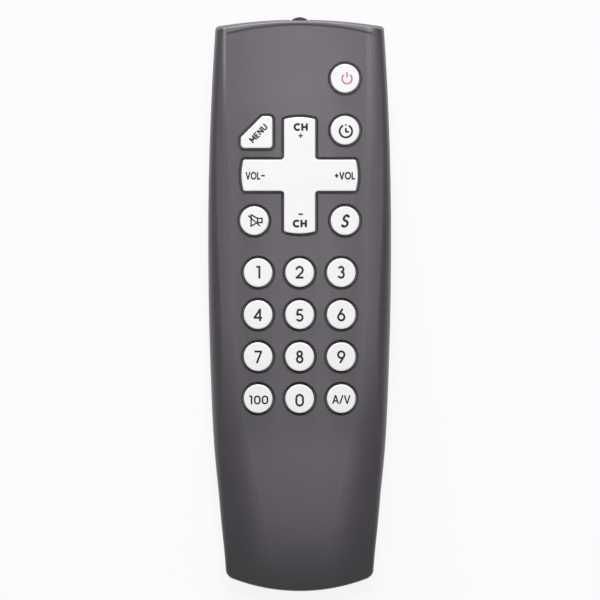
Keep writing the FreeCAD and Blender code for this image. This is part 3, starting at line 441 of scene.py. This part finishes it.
# Each sign's width and strokes. Its feet are at 0 and its head is at 1.
GLYPHS = {
    "0": (0.72, [bow(0.36, 0.65, 0.28, 0, 180), bow(0.36, 0.35, 0.28, 180, 360),
                 bar(0.08, 0.34, 0.08, 0.66), bar(0.64, 0.34, 0.64, 0.66)]),
    "1": (0.50, [bar(0.36, 0.0, 0.36, 1.0), bar(0.10, 0.93, 0.40, 0.93)]),
    "2": (0.68, [bow(0.33, 0.66, 0.27, -38, 172), bar(0.553, 0.505, 0.06, 0.03),
                 bar(0.0, 0.07, 0.66, 0.07)]),
    "3": (0.64, [bow(0.30, 0.725, 0.205, -95, 160), bow(0.30, 0.295, 0.235, -160, 95)]),
    "4": (0.72, [bar(0.52, 0.0, 0.52, 1.0), bar(0.54, 0.96, 0.03, 0.24),
                 bar(0.0, 0.27, 0.70, 0.27)]),
    "5": (0.64, [bar(0.14, 0.93, 0.58, 0.93), bar(0.17, 0.95, 0.105, 0.48),
                 bow(0.31, 0.315, 0.255, -150, 138)]),
    "6": (0.68, [ring(0.34, 0.325, 0.265), bar(0.105, 0.44, 0.45, 1.0)]),
    "7": (0.62, [bar(0.0, 0.93, 0.62, 0.93), bar(0.585, 0.95, 0.20, 0.0)]),
    "8": (0.64, [ring(0.32, 0.745, 0.195), ring(0.32, 0.295, 0.235)]),
    "9": (0.68, [ring(0.34, 0.675, 0.265), bar(0.575, 0.56, 0.23, 0.0)]),
    "A": (0.80, [bar(0.06, 0.0, 0.40, 1.0), bar(0.74, 0.0, 0.40, 1.0),
                 bar(0.16, 0.33, 0.64, 0.33)]),
    "C": (0.86, [bow(0.46, 0.5, 0.40, 45, 315)]),
    "E": (0.62, [bar(0.09, 0.0, 0.09, 1.0), bar(0.05, 0.92, 0.56, 0.92), bar(0.05, 0.5, 0.50, 0.5),
                 bar(0.05, 0.08, 0.56, 0.08)]),
    "H": (0.80, [bar(0.10, 0.0, 0.10, 1.0), bar(0.70, 0.0, 0.70, 1.0),
                 bar(0.10, 0.5, 0.70, 0.5)]),
    "L": (0.56, [bar(0.09, 0.0, 0.09, 1.0), bar(0.05, 0.08, 0.54, 0.08)]),
    "M": (0.92, [bar(0.09, 0.0, 0.09, 1.0), bar(0.83, 0.0, 0.83, 1.0), bar(0.10, 0.98, 0.46, 0.25),
                 bar(0.82, 0.98, 0.46, 0.25)]),
    "N": (0.80, [bar(0.09, 0.0, 0.09, 1.0), bar(0.71, 0.0, 0.71, 1.0),
                 bar(0.10, 0.97, 0.70, 0.03)]),
    "O": (0.96, [ring(0.48, 0.5, 0.42)]),
    "S": (0.66, [bow(0.34, 0.735, 0.205, 10, 245), bar(0.253, 0.549, 0.415, 0.474),
                 bow(0.32, 0.27, 0.225, -165, 65)]),
    "U": (0.78, [bar(0.09, 0.36, 0.09, 1.0), bar(0.69, 0.36, 0.69, 1.0),
                 bow(0.39, 0.38, 0.30, 180, 360)]),
    "V": (0.76, [bar(0.05, 1.0, 0.38, 0.0), bar(0.71, 1.0, 0.38, 0.0)]),
    "/": (0.34, [bar(0.0, 0.0, 0.34, 1.0)]),
    "+": (0.66, [bar(0.04, 0.5, 0.62, 0.5), bar(0.33, 0.21, 0.33, 0.79)]),
    "-": (0.72, [bar(0.04, 0.5, 0.68, 0.5)]),
}
# Signs drawn about their own middle, which have no width.
STANDBY = (0.0, [bow(0.0, 0.0, 0.50, 125, 415), bar(0.0, 0.12, 0.0, 0.66)])
CLOCK = (0.0, [bow(0.0, 0.0, 0.50, 116, 424), bar(0.0, -0.05, 0.0, 0.26),
               bar(-0.04, -0.05, 0.24, -0.05), bar(0.0, 0.44, 0.0, 0.56)])
SPEAKER = (0.0, [bar(0.62, -0.22, 0.62, 0.22), bar(0.22, 0.19, 0.66, 0.19),
                 bar(0.22, -0.19, 0.66, -0.19), bar(0.24, 0.17, -0.38, 0.52),
                 bar(0.24, -0.17, -0.38, -0.52), bar(-0.36, -0.56, -0.36, 0.56),
                 bar(-0.62, 0.44, 0.44, -0.50), bar(0.22, -0.16, 0.22, 0.16)])

ink_black = Look("ink_black", Specular_IOR_Level=0.3)
film = ink_black.noise(5200, 3, 0.6)
ink_black.feed(Base_Color=ink_black.mix(film, (0.010, 0.010, 0.011, 1), (0.030, 0.030, 0.032, 1)),
               Roughness=0.58 + film * 0.2)
ink_black.bump(film, 0.006 * MM)
ink_red = Look("ink_red")
film = ink_red.noise(5200, 3, 0.6)
ink_red.feed(Base_Color=ink_red.mix(film, (0.56, 0.095, 0.125, 1), (0.66, 0.160, 0.180, 1)),
             Roughness=0.42 + film * 0.2)
ink_red.bump(film, 0.006 * MM)


def draw_stroke(kind, numbers, height, weight):
    """Adds one round bead to the mesh in edit mode."""
    scaled = [number * height for number in numbers]
    bpy.ops.mesh.select_all(action="DESELECT")
    if kind == "ring":
        bpy.ops.mesh.primitive_torus_add(
            location=(scaled[0], scaled[1], 0), major_radius=scaled[2], minor_radius=weight / 2,
            major_segments=int(math.tau / CURVE_STEP), minor_segments=BEAD_SIDES)
    elif kind == "bar":
        run = Vector((scaled[2] - scaled[0], scaled[3] - scaled[1], 0))
        bpy.ops.mesh.primitive_cylinder_add(
            vertices=BEAD_SIDES, radius=weight / 2, depth=run.length,
            location=(scaled[0] + run.x / 2, scaled[1] + run.y / 2, 0),
            rotation=(math.pi / 2, 0, math.atan2(run.y, run.x) + math.pi / 2))
    else:
        start, end = (math.radians(angle) for angle in numbers[3:])
        radius = scaled[2]
        bpy.ops.mesh.primitive_circle_add(
            vertices=BEAD_SIDES, radius=weight / 2, fill_type="NGON",
            location=(scaled[0] + radius * math.cos(start),
                      scaled[1] + radius * math.sin(start), 0),
            rotation=(math.pi / 2, 0, start))
        bpy.ops.mesh.spin(steps=max(4, round(abs(end - start) / CURVE_STEP)), angle=start - end,
                          center=(scaled[0], scaled[1], 0), axis=(0, 0, 1))


def lie_on(piece, node):
    """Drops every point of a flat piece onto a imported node, and keeps the height of its own."""
    down = Vector((0, 0, -1))
    for vertex in piece.data.vertices:
        high_up = Vector((vertex.co.x, vertex.co.y, 0.1))
        hit, place, _, _ = nodes[node].ray_cast(high_up, down)
        vertex.co.z += place.z if hit else 0.0


def print_on(node, body, name, signs, centre, height, weight, look,
             narrow=1.0, turned=0.0, slant=0.0):
    """Prints a row of signs on the top of a node, to move with a body.

    Centre, height and stroke weight are in millimetres. The strokes go into an emptied plane.
    """
    bpy.ops.object.select_all(action="DESELECT")
    bpy.ops.mesh.primitive_plane_add(size=MM)
    piece = bpy.context.object
    piece.name = name
    bpy.ops.object.mode_set(mode="EDIT")
    bpy.ops.mesh.delete(type="VERT")
    shapes = [GLYPHS[sign] if isinstance(sign, str) else sign for sign in signs]
    length = sum(shape[0] for shape in shapes) + LETTER_GAP * (len(shapes) - 1)
    start = -length / 2
    middle = 0.0 if shapes[0][0] == 0 else 0.5
    for width, strokes in shapes:
        for kind, numbers in strokes:
            moved = list(numbers)
            moved[0] += start
            moved[1] -= middle
            if kind == "bar":
                moved[2] += start
                moved[3] -= middle
            draw_stroke(kind, moved, height * MM, weight * MM)
        start += width + LETTER_GAP
    bpy.ops.mesh.select_all(action="SELECT")
    bpy.ops.mesh.remove_doubles(threshold=0.0005 * MM)
    bpy.ops.mesh.normals_make_consistent(inside=False)
    bpy.ops.object.mode_set(mode="OBJECT")
    for vertex in piece.data.vertices:
        vertex.co.x += slant * vertex.co.y
    piece.scale = (narrow, 1.0, 2 * INK_RISE / (weight * MM))
    piece.rotation_euler = (0, 0, turned)
    piece.location = (centre[0] * MM, centre[1] * MM, 0)
    bpy.ops.object.transform_apply(location=True, rotation=True, scale=True)
    bpy.ops.object.shade_smooth_by_angle(angle=math.radians(50))
    piece.data.materials.append(look.material)
    lie_on(piece, node)
    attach(piece, body)


# How far a figure is printed below the middle of its key, 0.05 mm where it isn't listed.
FIGURE_HEIGHT = 3.8
FIGURE_WEIGHT = 0.66
FIGURE_DROP = {"0": 0.45, "1": -0.15, "2": -0.15, "3": -0.15, "5": 0.15}
for figure in "0123456789":
    node = "digit_" + figure + "_key"
    low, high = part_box(node)
    middle = ((low.x + high.x) / 2 / MM,
              (low.y + high.y) / 2 / MM - FIGURE_DROP.get(figure, 0.05))
    print_on(node, node, "digit_" + figure + "_mark", figure, middle,
             FIGURE_HEIGHT, FIGURE_WEIGHT, ink_black, narrow=0.95)

# Key, name, signs, centre, height, stroke weight, how narrow, and how far it slants.
key_words = (
    ("hundred_key", "hundred_mark", "100", (-12.6, -29.1), 2.60, 0.50, 1.05, 0.0),
    ("av_key", "av_mark", "A/V", (12.65, -28.95), 2.60, 0.47, 0.97, 0.0),
    ("s_key", "s_mark", "S", (13.95, 25.35), 3.75, 0.74, 0.96, 0.22),
)
for node, name, signs, centre, height, weight, narrow, slant in key_words:
    print_on(node, node, name, signs, centre, height, weight, ink_black, narrow, slant=slant)

print_on("menu_key", "menu_key", "menu_mark", "MENU", (-12.55, 52.0), 1.85, 0.46, ink_black,
         turned=math.radians(46))
print_on("power_key", "power_key", "power_mark", [STANDBY], (14.4, 68.6), 3.0, 0.46, ink_red)
print_on("timer_key", "timer_key", "timer_mark", [CLOCK], (14.05, 52.65), 3.8, 0.60, ink_black)
print_on("mute_key", "mute_key", "mute_mark", [SPEAKER], (-13.55, 25.5), 3.4, 0.46, ink_black)

rocker_words = (
    ("rocker_up_mark", "CH", (0.35, 53.9), 2.25, 0.66, 1.0),
    ("rocker_up_sign", "+", (0.3, 51.25), 2.3, 0.38, 1.0),
    ("rocker_down_sign", "-", (0.3, 27.4), 2.1, 0.50, 1.0),
    ("rocker_down_mark", "CH", (0.1, 24.55), 2.25, 0.68, 1.0),
    ("rocker_left_mark", "VOL-", (-13.45, 39.1), 2.30, 0.52, 0.74),
    ("rocker_right_mark", "+VOL", (13.75, 39.1), 2.25, 0.52, 0.82),
)
for name, signs, centre, height, weight, narrow in rocker_words:
    print_on("rocker_key", "rocker", name, signs, centre, height, weight, ink_black, narrow)


# Top housing
# The upper shell, moulded in the same grey as the lower one, with an opening for every key.
# Snap hooks along both sides and one screw at the nose hold it to the lower shell.

dress(case_grey, "top_housing")


# Case screw
# A small cross-slotted screw of zinc-plated steel, sunk in the underside near the nose.

zinc = Look("zinc_plate", Metallic=1.0)
turning = zinc.noise(3800, 3, 0.6)
stained = zinc.noise(600, 3).step(0.5, 0.8)
zinc.feed(Base_Color=zinc.mix(stained, (0.60, 0.61, 0.62, 1), (0.40, 0.39, 0.37, 1)),
          Roughness=0.3 + turning * 0.2)
zinc.bump(turning, 0.01 * MM)
dress(zinc, "case_screw")


# Battery door
# A moulded grey cover that slides in under the tail end. Cross grooves give the thumb a grip,
# and an arrowhead below them shows the way it slides.

dress(case_grey, "battery_door")


# Floor, lamps and camera
# A pale seamless sheet under one large soft lamp above the nose half, with a low one in front
# that lights the nose. The camera looks straight down from far above.

bpy.ops.object.select_all(action="DESELECT")
bpy.ops.mesh.primitive_circle_add(vertices=96, radius=1.6, fill_type="NGON",
                                  location=(0, 0, -0.2 * MM))
floor = bpy.context.object
floor.name = "floor"
bpy.ops.object.transform_apply(location=True)

# Seen directly, in a reflection or through a clear piece, the sheet is mostly an even glow, so
# its shadows stay faint.
SHEET_GLOW = 0.88
paper = Look("pale_paper", Roughness=0.9)
paper.feed(Base_Color=paper.mix(paper.noise(300, 3), (0.80, 0.80, 0.80, 1), (0.83, 0.83, 0.83, 1)))
seen = paper.node("ShaderNodeLightPath", output="Is Camera Ray")
mirrored = paper.node("ShaderNodeLightPath", output="Is Glossy Ray")
refracted = paper.node("ShaderNodeLightPath", output="Is Transmission Ray")
glow = paper.node("ShaderNodeEmission", sockets={"Color": (1, 1, 1, 1), "Strength": 1.0})
blend = paper.node("ShaderNodeMixShader", sockets={
    0: (seen + mirrored + refracted) * SHEET_GLOW,
    1: Signal(paper, paper.shader.outputs[0]), 2: glow})
paper.link(blend, paper.tree.nodes["Material Output"].inputs["Surface"])
floor.data.materials.append(paper.material)


def soft_lamp(name, place, size, watts):
    """Adds a round lamp that the camera doesn't see, turned towards the middle of the case.

    Place and size are in metres.
    """
    bpy.ops.object.light_add(type="AREA", location=place)
    lamp = bpy.context.object
    lamp.name = name
    lamp.data.shape = "DISK"
    lamp.data.size = size
    lamp.data.energy = watts
    lamp.visible_camera = False
    lamp.rotation_mode = "QUATERNION"
    lamp.rotation_quaternion = (-Vector(place)).to_track_quat("-Z", "Y")


soft_lamp("overhead_lamp", (0.015, 0.13, 0.70), 0.26, 2.9)
soft_lamp("nose_lamp", (-0.10, 1.10, 0.20), 0.30, 12.0)

world = bpy.data.worlds.new("pale_room")
bpy.context.scene.world = world
world.use_nodes = True
sky = world.node_tree.nodes["Background"]
sky.inputs["Color"].default_value = (0.96, 0.97, 1.0, 1)
sky.inputs["Strength"].default_value = 0.25

FRAME_WIDTH = 183 * MM
LENS = 800.0
SENSOR = 36.0
CAMERA_HEIGHT = PARTING_Z + FRAME_WIDTH * LENS / SENSOR
bpy.ops.object.camera_add(location=(0.1 * MM, 1.3 * MM, CAMERA_HEIGHT), rotation=(0, 0, 0))
camera = bpy.context.object
camera.data.lens = LENS
camera.data.sensor_width = SENSOR
camera.data.clip_end = 50.0
bpy.context.scene.camera = camera
bpy.context.scene.view_settings.view_transform = "Standard"
